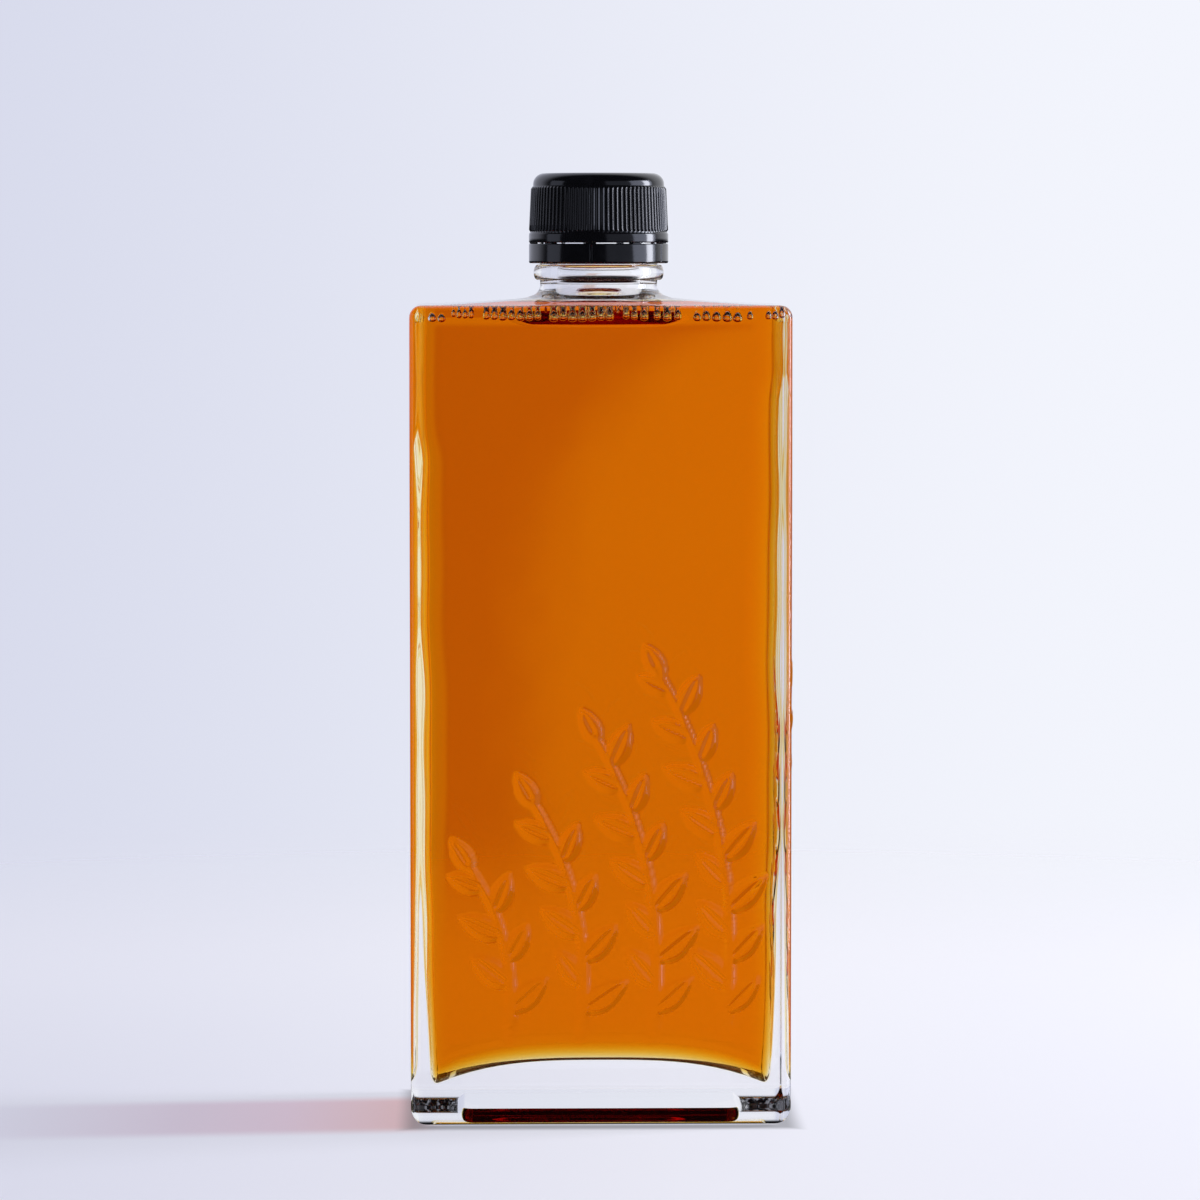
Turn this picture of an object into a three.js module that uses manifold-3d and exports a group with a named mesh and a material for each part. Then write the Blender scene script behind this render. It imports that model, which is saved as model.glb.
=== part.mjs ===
// A shut flat-sided bottle of maple syrup: moulded clear glass, the syrup that fills it
// and a black screw cap. Millimetres, +Z up. The origin is the middle of the base,
// the front looks along -Y and carries leafy sprays in low relief.
import * as THREE from 'three';
import { mergeVertices } from 'three/addons/utils/BufferGeometryUtils.js';
import Module from 'manifold-3d';

const wasm = await Module();
wasm.setup();

// Outside of the glass body
const BODY_WIDTH = 81;
const BODY_DEPTH = 50;
const CORNER_RADIUS = 1.8;
const LEAST_CORNER_RADIUS = 0.25;
const HEEL_RADIUS = 4;
const SHOULDER_EDGE_HEIGHT = 174.7;
const SHOULDER_EDGE_RADIUS = 2.6;

// Hollow under the base, which leaves a flat ring to stand on
const RECESS_HALF_WIDTH = 33.2;
const RECESS_HALF_DEPTH = 20;
const RECESS_CORNER = 6;
const RECESS_HEIGHT = 3.2;
const RECESS_SLOPE_RUN = 3.85;

// Neck and finish
const NECK_ROOT_HEIGHT = 176.5;
const NECK_RADIUS = 12.6;
const NECK_FILLET = 2.4;
const BEAD_RADIUS = 14;
const BEAD_BOTTOM = 179.9;
const BEAD_TOP = 183.2;
const FINISH_RADIUS = 12.8;
const MOUTH_HEIGHT = 200.2;
const MOUTH_EDGE = 1;
const BORE_RADIUS = 9.2;

// Cavity: its sides lean in towards a thick base, and its floor arches up in the middle
const CAVITY_HALF_WIDTH_TOP = 38.7;
const CAVITY_HALF_WIDTH_BOTTOM = 36.3;
const CAVITY_HALF_DEPTH = 21.7;
const CAVITY_CORNER = 5;
const CEILING_EDGE_HEIGHT = 173.2;
const CEILING_EDGE_RADIUS = 2.2;
const CEILING_BORE_HEIGHT = 174.9;
const BORE_FLARE = 3.6;
const FLOOR_CENTRE_HEIGHT = 13.7;
const FLOOR_END_DROP = 5.6;
const FLOOR_FILLET = 4;

// Syrup: clear of the glass, with an air pocket under the neck
const SYRUP_GAP = 0.4;
const POCKET_REACH = 0.62;
const POCKET_BOTTOM = 170.8;

// Screw cap with a tamper band that hangs on small bridges below a slit
const CAP_RADIUS = 15;
const CAP_BOTTOM = 183.5;
const CAP_TOP = 202.8;
const CAP_BORE_RADIUS = 13.2;
const CAP_CEILING = 200.5;
const CAP_TOP_RADIUS = 14.1;
const CAP_EDGE_RADIUS = 2.4;
const SLIT_BOTTOM = 187.7;
const SLIT_HEIGHT = 0.45;
const BRIDGE_COUNT = 9;
const BRIDGE_ANGLE = 8;
const BRIDGE_START_ANGLE = -97.6;
const SCORE_ANGLES = [-97.6, -28];
const SCORE_WIDTH = 0.35;
const SCORE_DEPTH = 0.35;
const RIB_COUNT = 90;
const RIB_BOTTOM = 190.2;
const RIB_TOP = 199.9;
const RIB_HEIGHT = 0.45;
const RIB_TAPER = 0.45;

// Leafy sprays in relief: upright stems with alternate pointed leaves
const RELIEF_SINK = 1;
const STEM_PROUD = 0.6;
const LEAF_PROUD = 0.66;
const SPRAY_COUNT = 4;
const SPRAY_FIRST_X = -20;
const SPRAY_PITCH = 15.3;
const SPRAY_FOOT_HEIGHT = 18;
const SPRAY_FIRST_HEIGHT = 38;
const SPRAY_HEIGHT_STEP = 14;
const SPRAY_FIRST_LEAN = 8;
const SPRAY_LEAN_STEP = 2;
const SIDE_SPRAY = { foot: 0, height: 76, lean: 8 };
const STEM_FOOT_WIDTH = 2.4;
const STEM_TIP_WIDTH = 1.2;
const STEM_STEPS = 12;
const LEAF_LENGTH = 11;
const LEAF_TIP_SHRINK = 0.25;
const LEAF_SLIMNESS = 0.23;
const LEAF_SPACING = 5.4;
const LEAF_FIRST = 7;
const LEAF_TURN = 0.78;
const LEAF_SWAY = { turn: 0.12, size: 0.08 };
const TIP_LEAF_ROOT = 0.97;
const LEAF_STEPS = 6;

// Fineness of the curved surfaces
const CORNER_STEPS = 5;
const SIDE_STEPS = 3;
const ARC_STEPS = 3;
const RING_POINTS = 4 * (CORNER_STEPS + SIDE_STEPS + 2);
const CAP_SEGMENTS = 72;

const range = (count) => Array.from({ length: count }, (_, i) => i);
const radians = THREE.MathUtils.degToRad;
const lerp = THREE.MathUtils.lerp;

// A level rounded rectangle, counter-clockwise from the middle of the right side.
// height is a number, or a function of x where the ring follows the arched floor.
function boxRing(halfWidth, halfDepth, radius, height) {
  const quarter = [[halfWidth, 0]];
  for (const i of range(CORNER_STEPS + 1)) {
    const angle = (i / CORNER_STEPS) * (Math.PI / 2);
    quarter.push([
      halfWidth - radius * (1 - Math.cos(angle)),
      halfDepth - radius * (1 - Math.sin(angle)),
    ]);
  }
  for (const i of range(SIDE_STEPS)) {
    quarter.push([(halfWidth - radius) * (1 - (i + 1) / (SIDE_STEPS + 1)), halfDepth]);
  }
  const mirrored = quarter.slice(1).reverse().map(([x, y]) => [-x, y]);
  const half = [...quarter, [0, halfDepth], ...mirrored];
  const outline = [...half, ...half.map(([x, y]) => [-x, -y])];
  const heightAt = typeof height === 'function' ? height : () => height;
  return outline.map(([x, y]) => new THREE.Vector3(x, y, heightAt(x)));
}

// A level circle with the same number of points, from the same start.
function roundRing(radius, height) {
  return range(RING_POINTS).map((i) => {
    const angle = (i / RING_POINTS) * 2 * Math.PI;
    return new THREE.Vector3(radius * Math.cos(angle), radius * Math.sin(angle), height);
  });
}

// A quarter turn in ARC_STEPS steps: how far back from the start and how far up it has gone.
function quarterArc() {
  return range(ARC_STEPS + 1).map((i) => {
    const angle = (i / ARC_STEPS) * (Math.PI / 2);
    return { back: 1 - Math.cos(angle), rise: Math.sin(angle) };
  });
}

function middle(ring) {
  const sum = ring.reduce((total, point) => total.add(point), new THREE.Vector3());
  return sum.divideScalar(ring.length);
}

// A closed skin through rings of equal length, closed by a fan at either end.
function loft(rings, startPoint = middle(rings[0]), endPoint = middle(rings.at(-1))) {
  const count = rings[0].length;
  const points = [...rings.flat(), startPoint, endPoint];
  const start = points.length - 2;
  const end = points.length - 1;
  const last = (rings.length - 1) * count;
  const triangles = [];
  for (const j of range(count)) {
    const next = (j + 1) % count;
    triangles.push(start, next, j);
    triangles.push(end, last + j, last + next);
    for (const i of range(rings.length - 1)) {
      const low = i * count;
      const high = low + count;
      triangles.push(low + j, low + next, high + next);
      triangles.push(low + j, high + next, high + j);
    }
  }
  const geometry = new THREE.BufferGeometry().setFromPoints(points);
  geometry.setIndex(triangles);
  return geometry;
}

// A geometry as a solid that can be joined and cut.
function solid(geometry) {
  geometry.deleteAttribute('normal');
  geometry.deleteAttribute('uv');
  const merged = mergeVertices(geometry, 1e-4);
  const corners = Array.from(merged.index.array);
  const triVerts = [];
  for (let i = 0; i < corners.length; i += 3) {
    const triangle = corners.slice(i, i + 3);
    if (new Set(triangle).size === 3) {
      triVerts.push(...triangle);
    }
  }
  const mesh = new wasm.Mesh({
    numProp: 3,
    vertProperties: merged.attributes.position.array,
    triVerts: Uint32Array.from(triVerts),
  });
  return new wasm.Manifold(mesh);
}

function geometryOf(body) {
  const { vertProperties, triVerts } = body.getMesh();
  const geometry = new THREE.BufferGeometry();
  geometry.setAttribute('position', new THREE.BufferAttribute(vertProperties, 3));
  geometry.setIndex(new THREE.BufferAttribute(triVerts, 1));
  geometry.computeVertexNormals();
  return geometry;
}

// Outside of the glass, from the hollow under the base up to the shoulder's edge.
function bodyRings() {
  const halfWidth = BODY_WIDTH / 2;
  const halfDepth = BODY_DEPTH / 2;
  const inset = (by, z) => {
    const corner = Math.max(CORNER_RADIUS - by, LEAST_CORNER_RADIUS);
    return boxRing(halfWidth - by, halfDepth - by, corner, z);
  };
  const slope = RECESS_SLOPE_RUN;
  const heel = quarterArc().reverse().map(({ back, rise }) => {
    return inset(HEEL_RADIUS * back, HEEL_RADIUS * (1 - rise));
  });
  const edge = quarterArc().map(({ back, rise }) => {
    const z = SHOULDER_EDGE_HEIGHT - SHOULDER_EDGE_RADIUS * (1 - rise);
    return inset(SHOULDER_EDGE_RADIUS * back, z);
  });
  return [
    boxRing(RECESS_HALF_WIDTH - slope, RECESS_HALF_DEPTH - slope, RECESS_CORNER - slope, RECESS_HEIGHT),
    boxRing(RECESS_HALF_WIDTH, RECESS_HALF_DEPTH, RECESS_CORNER, 0),
    ...heel,
    ...edge,
  ];
}

// Neck root, neck, bead and the plain finish under the cap, then over the mouth into the bore.
function neckRings() {
  const root = quarterArc().map(({ back, rise }) => {
    return roundRing(NECK_RADIUS + NECK_FILLET * (1 - rise), NECK_ROOT_HEIGHT + NECK_FILLET * back);
  });
  const beadMiddle = (BEAD_TOP + BEAD_BOTTOM) / 2;
  const beadHalf = (BEAD_TOP - BEAD_BOTTOM) / 2;
  const bead = [-90, -60, -25, 25, 60, 90].map((degrees) => {
    const angle = radians(degrees);
    const bulge = Math.sqrt(Math.max(Math.cos(angle), 0));
    const radius = lerp(NECK_RADIUS, BEAD_RADIUS, bulge);
    return roundRing(radius, beadMiddle + beadHalf * Math.sin(angle));
  });
  const lip = quarterArc().map(({ back, rise }) => {
    return roundRing(FINISH_RADIUS - MOUTH_EDGE * back, MOUTH_HEIGHT - MOUTH_EDGE * (1 - rise));
  });
  return [
    ...root,
    ...bead,
    roundRing(FINISH_RADIUS, BEAD_TOP + MOUTH_EDGE),
    ...lip,
    roundRing(BORE_RADIUS + MOUTH_EDGE, MOUTH_HEIGHT),
    roundRing(BORE_RADIUS, MOUTH_HEIGHT - MOUTH_EDGE),
  ];
}

const floorHeight = (x) => {
  const reach = Math.abs(x) / CAVITY_HALF_WIDTH_BOTTOM;
  return FLOOR_CENTRE_HEIGHT - FLOOR_END_DROP * reach ** 3;
};

// Edge of the cavity's ceiling, drawn in by gap.
function ceilingEdge(gap) {
  return boxRing(
    CAVITY_HALF_WIDTH_TOP - CEILING_EDGE_RADIUS - gap,
    CAVITY_HALF_DEPTH - CEILING_EDGE_RADIUS - gap,
    CAVITY_CORNER - CEILING_EDGE_RADIUS,
    CEILING_EDGE_HEIGHT - gap,
  );
}

// Cavity from its ceiling edge down the walls and over the arched floor, drawn in by gap.
function cavityRings(gap) {
  const halfDepth = CAVITY_HALF_DEPTH - gap;
  const topWidth = CAVITY_HALF_WIDTH_TOP - gap;
  const bottomWidth = CAVITY_HALF_WIDTH_BOTTOM - gap;
  const top = quarterArc().reverse().slice(1).map(({ back, rise }) => {
    const inset = CEILING_EDGE_RADIUS * back;
    const z = CEILING_EDGE_HEIGHT - gap - CEILING_EDGE_RADIUS * (1 - rise);
    return boxRing(topWidth - inset, halfDepth - inset, CAVITY_CORNER - inset, z);
  });
  const fillet = quarterArc().map(({ back, rise }) => {
    const inset = FLOOR_FILLET * back;
    const height = (x) => floorHeight(x) + gap + FLOOR_FILLET * (1 - rise);
    return boxRing(bottomWidth - inset, halfDepth - inset, CAVITY_CORNER - inset, height);
  });
  const floor = [0.75, 0.5, 0.25].map((share) => {
    const width = share * (bottomWidth - FLOOR_FILLET);
    const depth = share * (halfDepth - FLOOR_FILLET);
    const corner = share * (CAVITY_CORNER - FLOOR_FILLET);
    return boxRing(width, depth, corner, (x) => floorHeight(x) + gap);
  });
  return [ceilingEdge(gap), ...top, ...fillet, ...floor];
}

const floorCentre = (gap) => new THREE.Vector3(0, 0, FLOOR_CENTRE_HEIGHT + gap);

function glassShell() {
  const flare = quarterArc().map(({ back, rise }) => {
    const z = CEILING_BORE_HEIGHT + BORE_FLARE * (1 - rise);
    return roundRing(BORE_RADIUS + BORE_FLARE * back, z);
  });
  const rings = [...bodyRings(), ...neckRings(), ...flare, ...cavityRings(0)];
  return loft(rings, middle(rings[0]), floorCentre(0));
}

function syrupGeometry() {
  const cavity = cavityRings(SYRUP_GAP).reverse();
  const edge = ceilingEdge(SYRUP_GAP);
  const bore = roundRing(BORE_RADIUS + BORE_FLARE, CEILING_BORE_HEIGHT - SYRUP_GAP);
  const rim = edge.map((point, i) => point.clone().lerp(bore[i], POCKET_REACH));
  const bowl = [0.9, 0.7, 0.4].map((share) => {
    return rim.map(({ x, y, z }) => {
      return new THREE.Vector3(share * x, share * y, lerp(POCKET_BOTTOM, z, share ** 4));
    });
  });
  const bottom = new THREE.Vector3(0, 0, POCKET_BOTTOM);
  return loft([...cavity, rim, ...bowl], floorCentre(SYRUP_GAP), bottom);
}

// One upright stem: a curve that rises from its foot and leans over to the left at its tip.
function stemCurve({ foot, height, lean }) {
  return new THREE.QuadraticBezierCurve(
    new THREE.Vector2(foot, SPRAY_FOOT_HEIGHT),
    new THREE.Vector2(foot + 0.45 * lean, SPRAY_FOOT_HEIGHT + 0.55 * height),
    new THREE.Vector2(foot - lean, SPRAY_FOOT_HEIGHT + height),
  );
}

function stemShape(curve) {
  const sides = [1, -1].map((side) => {
    return range(STEM_STEPS + 1).map((i) => {
      const along = i / STEM_STEPS;
      const tangent = curve.getTangent(along);
      const half = (side * lerp(STEM_FOOT_WIDTH, STEM_TIP_WIDTH, along)) / 2;
      return curve.getPoint(along).add(new THREE.Vector2(tangent.y, -tangent.x).multiplyScalar(half));
    });
  });
  return new THREE.Shape([...sides[0], ...sides[1].reverse()]);
}

// Half the width of a pointed leaf at a share of its length, broadest below the middle.
function leafHalfWidth(share, length) {
  return LEAF_SLIMNESS * length * (1 - (2 * share ** 0.8 - 1) ** 2);
}

function leafShape({ root, turn, length }) {
  const along = new THREE.Vector2(Math.cos(turn), Math.sin(turn));
  const across = new THREE.Vector2(along.y, -along.x);
  const edge = (share, side) => {
    const middle = root.clone().addScaledVector(along, share * length);
    return middle.addScaledVector(across, side * leafHalfWidth(share, length));
  };
  const shares = range(LEAF_STEPS - 1).map((i) => (i + 1) / LEAF_STEPS);
  const out = shares.map((share) => edge(share, 1));
  const home = shares.map((share) => edge(share, -1)).reverse();
  return new THREE.Shape([root, ...out, edge(1, 0), ...home]);
}

// Leaves of one spray: alternate along the stem, each a little unlike the last, and one at the tip.
function leavesOf(curve, phase) {
  const length = curve.getLength();
  const count = Math.floor((length - LEAF_FIRST) / LEAF_SPACING);
  const leaves = range(count).map((i) => {
    const along = (LEAF_FIRST + i * LEAF_SPACING) / length;
    const side = i % 2 === 0 ? 1 : -1;
    const sway = Math.sin(2.4 * i + 1.7 * phase);
    return {
      root: curve.getPointAt(along),
      turn: curve.getTangentAt(along).angle() - side * (LEAF_TURN + LEAF_SWAY.turn * sway),
      length: LEAF_LENGTH * (1 - LEAF_TIP_SHRINK * along + LEAF_SWAY.size * sway),
    };
  });
  const tip = {
    root: curve.getPointAt(TIP_LEAF_ROOT),
    turn: curve.getTangentAt(TIP_LEAF_ROOT).angle(),
    length: LEAF_LENGTH * (1 - LEAF_TIP_SHRINK),
  };
  return [...leaves, tip];
}

// A raised plate of the given outline, sunk into the front face.
function plate(shape, proud) {
  const depth = RELIEF_SINK + proud;
  const geometry = new THREE.ExtrudeGeometry(shape, { depth, bevelEnabled: false });
  return geometry.translate(0, 0, -RELIEF_SINK).rotateX(Math.PI / 2);
}

function sprayPlates(spray, phase) {
  const curve = stemCurve(spray);
  return [
    plate(stemShape(curve), STEM_PROUD),
    ...leavesOf(curve, phase).map((leaf) => plate(leafShape(leaf), LEAF_PROUD)),
  ];
}

// Sprays on the front grow taller and lean more to the right. One more is on the right side.
function reliefPlates() {
  const front = range(SPRAY_COUNT).flatMap((i) => {
    const spray = {
      foot: SPRAY_FIRST_X + i * SPRAY_PITCH,
      height: SPRAY_FIRST_HEIGHT + i * SPRAY_HEIGHT_STEP,
      lean: SPRAY_FIRST_LEAN + i * SPRAY_LEAN_STEP,
    };
    return sprayPlates(spray, i);
  });
  const side = sprayPlates(SIDE_SPRAY, SPRAY_COUNT);
  return [
    ...front.map((geometry) => geometry.translate(0, -BODY_DEPTH / 2, 0)),
    ...side.map((geometry) => geometry.rotateZ(Math.PI / 2).translate(BODY_WIDTH / 2, 0, 0)),
  ];
}

function glassGeometry() {
  let glass = solid(glassShell());
  for (const geometry of reliefPlates()) {
    glass = glass.add(solid(geometry));
  }
  return geometryOf(glass);
}

// Plain outside of the cap, closed on the axis.
function capBody() {
  const edge = quarterArc().map(({ back, rise }) => {
    const z = CAP_TOP - CAP_EDGE_RADIUS * (1 - rise);
    return new THREE.Vector2(CAP_TOP_RADIUS - CAP_EDGE_RADIUS * back, z);
  });
  const profile = [
    new THREE.Vector2(0, CAP_BOTTOM),
    new THREE.Vector2(CAP_RADIUS, CAP_BOTTOM),
    new THREE.Vector2(CAP_RADIUS, RIB_BOTTOM - RIB_HEIGHT),
    new THREE.Vector2(CAP_RADIUS - RIB_HEIGHT, RIB_BOTTOM),
    new THREE.Vector2(CAP_RADIUS - RIB_HEIGHT - RIB_TAPER, RIB_TOP),
    ...edge,
    new THREE.Vector2(0, CAP_TOP),
  ];
  return new THREE.LatheGeometry(profile, CAP_SEGMENTS).rotateX(Math.PI / 2);
}

// Upright gripping ribs: a toothed ring that tapers with the cap.
function capRibs() {
  const toothed = (crest, z) => {
    return range(2 * RIB_COUNT).map((i) => {
      const angle = (i / RIB_COUNT) * Math.PI;
      const radius = i % 2 === 0 ? crest : crest - RIB_HEIGHT;
      return new THREE.Vector3(radius * Math.cos(angle), radius * Math.sin(angle), z);
    });
  };
  return loft([toothed(CAP_RADIUS, RIB_BOTTOM), toothed(CAP_RADIUS - RIB_TAPER, RIB_TOP)]);
}

function capBore() {
  const below = CAP_BOTTOM - 1;
  const profile = [
    new THREE.Vector2(0, below),
    new THREE.Vector2(CAP_BORE_RADIUS, below),
    new THREE.Vector2(CAP_BORE_RADIUS, CAP_CEILING),
    new THREE.Vector2(0, CAP_CEILING),
  ];
  return new THREE.LatheGeometry(profile, CAP_SEGMENTS).rotateX(Math.PI / 2);
}

// Slits between the bridges, each a ring sector right through the wall.
function capSlits() {
  const step = 360 / BRIDGE_COUNT;
  return range(BRIDGE_COUNT).map((i) => {
    const start = radians(BRIDGE_START_ANGLE + i * step + BRIDGE_ANGLE / 2);
    const end = start + radians(step - BRIDGE_ANGLE);
    const sector = new THREE.Shape();
    sector.absarc(0, 0, CAP_RADIUS + 1, start, end, false);
    sector.absarc(0, 0, CAP_BORE_RADIUS - 1, end, start, true);
    const options = { depth: SLIT_HEIGHT, bevelEnabled: false, curveSegments: 8 };
    return new THREE.ExtrudeGeometry(sector, options).translate(0, 0, SLIT_BOTTOM);
  });
}

// Upright score lines where the tamper band tears.
function capScores() {
  const height = SLIT_BOTTOM - CAP_BOTTOM + 1;
  return SCORE_ANGLES.map((angle) => {
    const cut = new THREE.BoxGeometry(2 * SCORE_DEPTH, SCORE_WIDTH, height);
    return cut.translate(CAP_RADIUS, 0, SLIT_BOTTOM - height / 2).rotateZ(radians(angle));
  });
}

function capGeometry() {
  let cap = solid(capBody()).add(solid(capRibs()));
  for (const cut of [capBore(), ...capSlits(), ...capScores()]) {
    cap = cap.subtract(solid(cut));
  }
  return geometryOf(cap);
}

function piece(name, geometry, finish) {
  const mesh = new THREE.Mesh(geometry, new THREE.MeshStandardMaterial(finish));
  mesh.name = name;
  return mesh;
}

const bottle = new THREE.Group();
bottle.add(
  piece('glass', glassGeometry(), {
    color: 0xe9eef2,
    roughness: 0.04,
    metalness: 0,
    transparent: true,
    opacity: 0.35,
  }),
  piece('syrup', syrupGeometry(), { color: 0xc86302, roughness: 0.08, metalness: 0 }),
  piece('cap', capGeometry(), { color: 0x0c0d11, roughness: 0.36, metalness: 0 }),
);

export default bottle;
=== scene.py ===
import math

import bpy
import numpy as np
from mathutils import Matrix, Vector


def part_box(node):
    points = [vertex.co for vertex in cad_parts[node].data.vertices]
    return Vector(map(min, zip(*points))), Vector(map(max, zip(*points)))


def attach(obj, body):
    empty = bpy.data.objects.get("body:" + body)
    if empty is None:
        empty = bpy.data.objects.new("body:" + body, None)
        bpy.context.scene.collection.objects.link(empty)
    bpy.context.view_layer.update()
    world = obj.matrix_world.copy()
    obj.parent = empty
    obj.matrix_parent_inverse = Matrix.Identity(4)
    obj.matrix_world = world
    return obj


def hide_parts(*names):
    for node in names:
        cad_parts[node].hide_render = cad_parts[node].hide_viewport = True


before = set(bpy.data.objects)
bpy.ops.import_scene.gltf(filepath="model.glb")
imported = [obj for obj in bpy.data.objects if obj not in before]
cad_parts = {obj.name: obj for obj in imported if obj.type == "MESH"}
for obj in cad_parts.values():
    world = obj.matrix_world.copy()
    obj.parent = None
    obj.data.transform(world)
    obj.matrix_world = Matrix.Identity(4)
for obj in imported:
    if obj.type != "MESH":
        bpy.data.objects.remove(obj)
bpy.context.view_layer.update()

# Shapes are worked out in millimetres and made in metres
MM = 0.001


def box_mm(node):
    """Lowest and highest corner of a solid, in millimetres."""
    return [np.array(corner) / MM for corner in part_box(node)]


glass_low, glass_high = box_mm("glass")
cap_low, cap_high = box_mm("cap")

# Outside of the glass. The left side and the back carry no relief, so they give the plain walls.
HALF_WIDTH = -glass_low[0]
HALF_DEPTH = glass_high[1]
CORNER_RADIUS = 1.8
LEAST_CORNER_RADIUS = 0.25
HEEL_RADIUS = 4.0
SHOULDER_EDGE_HEIGHT = 174.7
SHOULDER_EDGE_RADIUS = 2.6
SHOULDER_SAG = 1.5

# Hollow under the base and the stippled ends of the ring that the bottle stands on
RECESS_HALF_WIDTH = 33.2
RECESS_HALF_DEPTH = 20.0
RECESS_CORNER = 6.0
RECESS_HEIGHT = 3.2
RECESS_SLOPE_RUN = 3.85
RECESS_ROUNDING = 0.3
RECESS_MARGIN = 0.8
SEAM_CLEARANCE = 1.2
STIPPLE_DEPTH = 0.3
STIPPLE_PITCH = 1.3
STIPPLE_HALF_LENGTH = 17.5
STIPPLE_START = 30.5
STIPPLE_END = 39.6
# Region and strokes of the stipple pads that take a finish of painted shade
PAD_FRONT = -22.3
PAD_BACK = 23.6
PAD_TOP = 2.6
STROKE_THRESHOLD = -1.6

# Neck and finish
NECK_ROOT_HEIGHT = 176.5
NECK_RADIUS = 12.6
NECK_FILLET = 2.4
BEAD_RADIUS = 14.0
BEAD_BOTTOM = 179.9
BEAD_TOP = 183.2
FINISH_RADIUS = 12.8
MOUTH_HEIGHT = glass_high[2]
MOUTH_EDGE = 1.0
BORE_RADIUS = 9.2

# Cavity
CAVITY_HALF_WIDTH_TOP = 38.7
CAVITY_HALF_WIDTH_BOTTOM = 36.3
CAVITY_HALF_DEPTH = 21.7
CAVITY_CORNER = 5.0
CEILING_EDGE_HEIGHT = 173.2
CEILING_EDGE_RADIUS = 2.2
CEILING_BORE_HEIGHT = 174.9
BORE_FLARE = 3.6
FLOOR_CENTRE_HEIGHT = 13.7
FLOOR_END_DROP = 5.6
FLOOR_FILLET = 4.0
FLOOR_SIDE_FILLET = 1.6
CAVITY_FLARE = 5.0
SIDE_BULGE = 0.3
SIDE_WAVE = 0.28
LEFT_HOLLOW = 2.3
RIGHT_HOLLOW = 2.9
LEFT_HOLLOW_TOP = 0.86
RIGHT_HOLLOW_TOP = 0.94

# Syrup reaches a little into the wall, and leaves an air pocket under the neck
SYRUP_OVERLAP = 0.12
POCKET_REACH = 0.62
POCKET_BOTTOM = 170.0
POCKET_CENTRE_X = -2.0
POCKET_STEEPNESS = 8
POCKET_SKIN_DEPTH = 0.03

# Leafy sprays in relief
STEM_PROUD = 0.6
LEAF_PROUD = 0.66
SPRAY_COUNT = 4
SPRAY_FIRST_X = -20.0
SPRAY_PITCH = 15.3
SPRAY_FOOT_HEIGHT = 18.0
SPRAY_FIRST_HEIGHT = 38.0
SPRAY_HEIGHT_STEP = 14.0
SPRAY_FIRST_LEAN = 8.0
SPRAY_LEAN_STEP = 2.0
SIDE_SPRAY = (0.0, 76.0, 8.0)
SIDE_SPRAY_RISE = 1.6
STEM_FOOT_WIDTH = 2.4
STEM_TIP_WIDTH = 1.2
STEM_BEND_RIGHT = 0.45
STEM_BEND_UP = 0.55
STEM_STEPS = 80
LEAF_LENGTH = 11.0
LEAF_TIP_SHRINK = 0.25
LEAF_SLIMNESS = 0.23
LEAF_SPACING = 5.4
LEAF_FIRST = 7.0
LEAF_TURN = 0.78
LEAF_SWAY_TURN = 0.12
LEAF_SWAY_SIZE = 0.08
TIP_LEAF_ROOT = 0.97
LEAF_CROWN = 0.2
RELIEF_BEVEL = 0.45
MIDRIB_DEPTH = 0.3
MIDRIB_WIDTH = 0.38
STEM_FADE = 12
RELIEF_STEP = 0.415
SIDE_RELIEF_STEP = 0.5
RELIEF_LOW = 16.5
RELIEF_HIGH = 106.5
FRONT_RELIEF_SPAN = (-36.5, 37.5)
SIDE_RELIEF_SPAN = (-17.0, 11.0)

# Screw cap
CAP_RADIUS = cap_high[0]
CAP_BOTTOM = cap_low[2]
CAP_TOP = cap_high[2]
CAP_BORE_RADIUS = 13.2
CAP_CEILING = 200.5
CAP_TOP_RADIUS = 14.1
CAP_EDGE_RADIUS = 2.4
SLIT_BOTTOM = 187.7
SLIT_TOP = SLIT_BOTTOM + 0.22
BRIDGE_COUNT = 9
BRIDGE_ANGLE = 8.0
BRIDGE_START_ANGLE = -97.6
SCORE_ANGLES = (-97.6, -28.0)
SCORE_HALF_ANGLE = 0.6
SCORE_DEPTH = 0.35
RIB_COUNT = 90
RIB_POINTS = 8
RIB_BOTTOM = 190.2
RIB_TOP = 199.9
RIB_HEIGHT = 0.3
RIB_TAPER = 0.45

# Camera: the photo is taken from about a metre away, with the lens level with the cap
CAMERA_DISTANCE = 1.15
CAMERA_AZIMUTH = math.radians(-1.25)
CAMERA_HEIGHT = 0.1885
AIM_HEIGHT = 0.1108
AIM_RIGHT = 0.0003
SENSOR_WIDTH = 36.0
FOCAL_PIXELS = 5329.6
PHOTO_PIXELS = 1200.0


# Shader arithmetic


class Value:
    """One socket of a node tree, with the arithmetic that the finishes use."""

    def __init__(self, tree, socket):
        self.tree = tree
        self.socket = socket

    def math(self, operation, *numbers):
        node = self.tree.nodes.new("ShaderNodeMath")
        node.operation = operation
        for socket, number in zip(node.inputs, numbers):
            plug(self.tree, number, socket)
        return Value(self.tree, node.outputs[0])

    def __add__(self, other):
        return self.math("ADD", self, other)

    def __radd__(self, other):
        return self.math("ADD", other, self)

    def __sub__(self, other):
        return self.math("SUBTRACT", self, other)

    def __rsub__(self, other):
        return self.math("SUBTRACT", other, self)

    def __mul__(self, other):
        return self.math("MULTIPLY", self, other)

    def __rmul__(self, other):
        return self.math("MULTIPLY", other, self)

    def __truediv__(self, other):
        return self.math("DIVIDE", self, other)

    def __pow__(self, other):
        return self.math("POWER", self, other)

    def __rpow__(self, other):
        return self.math("POWER", other, self)

    def __abs__(self):
        return self.math("ABSOLUTE", self)


def plug(tree, source, socket):
    """Links a value to a socket, or sets a plain number, colour or vector on it."""
    if isinstance(source, Value):
        tree.links.new(source.socket, socket)
    else:
        socket.default_value = source


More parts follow.
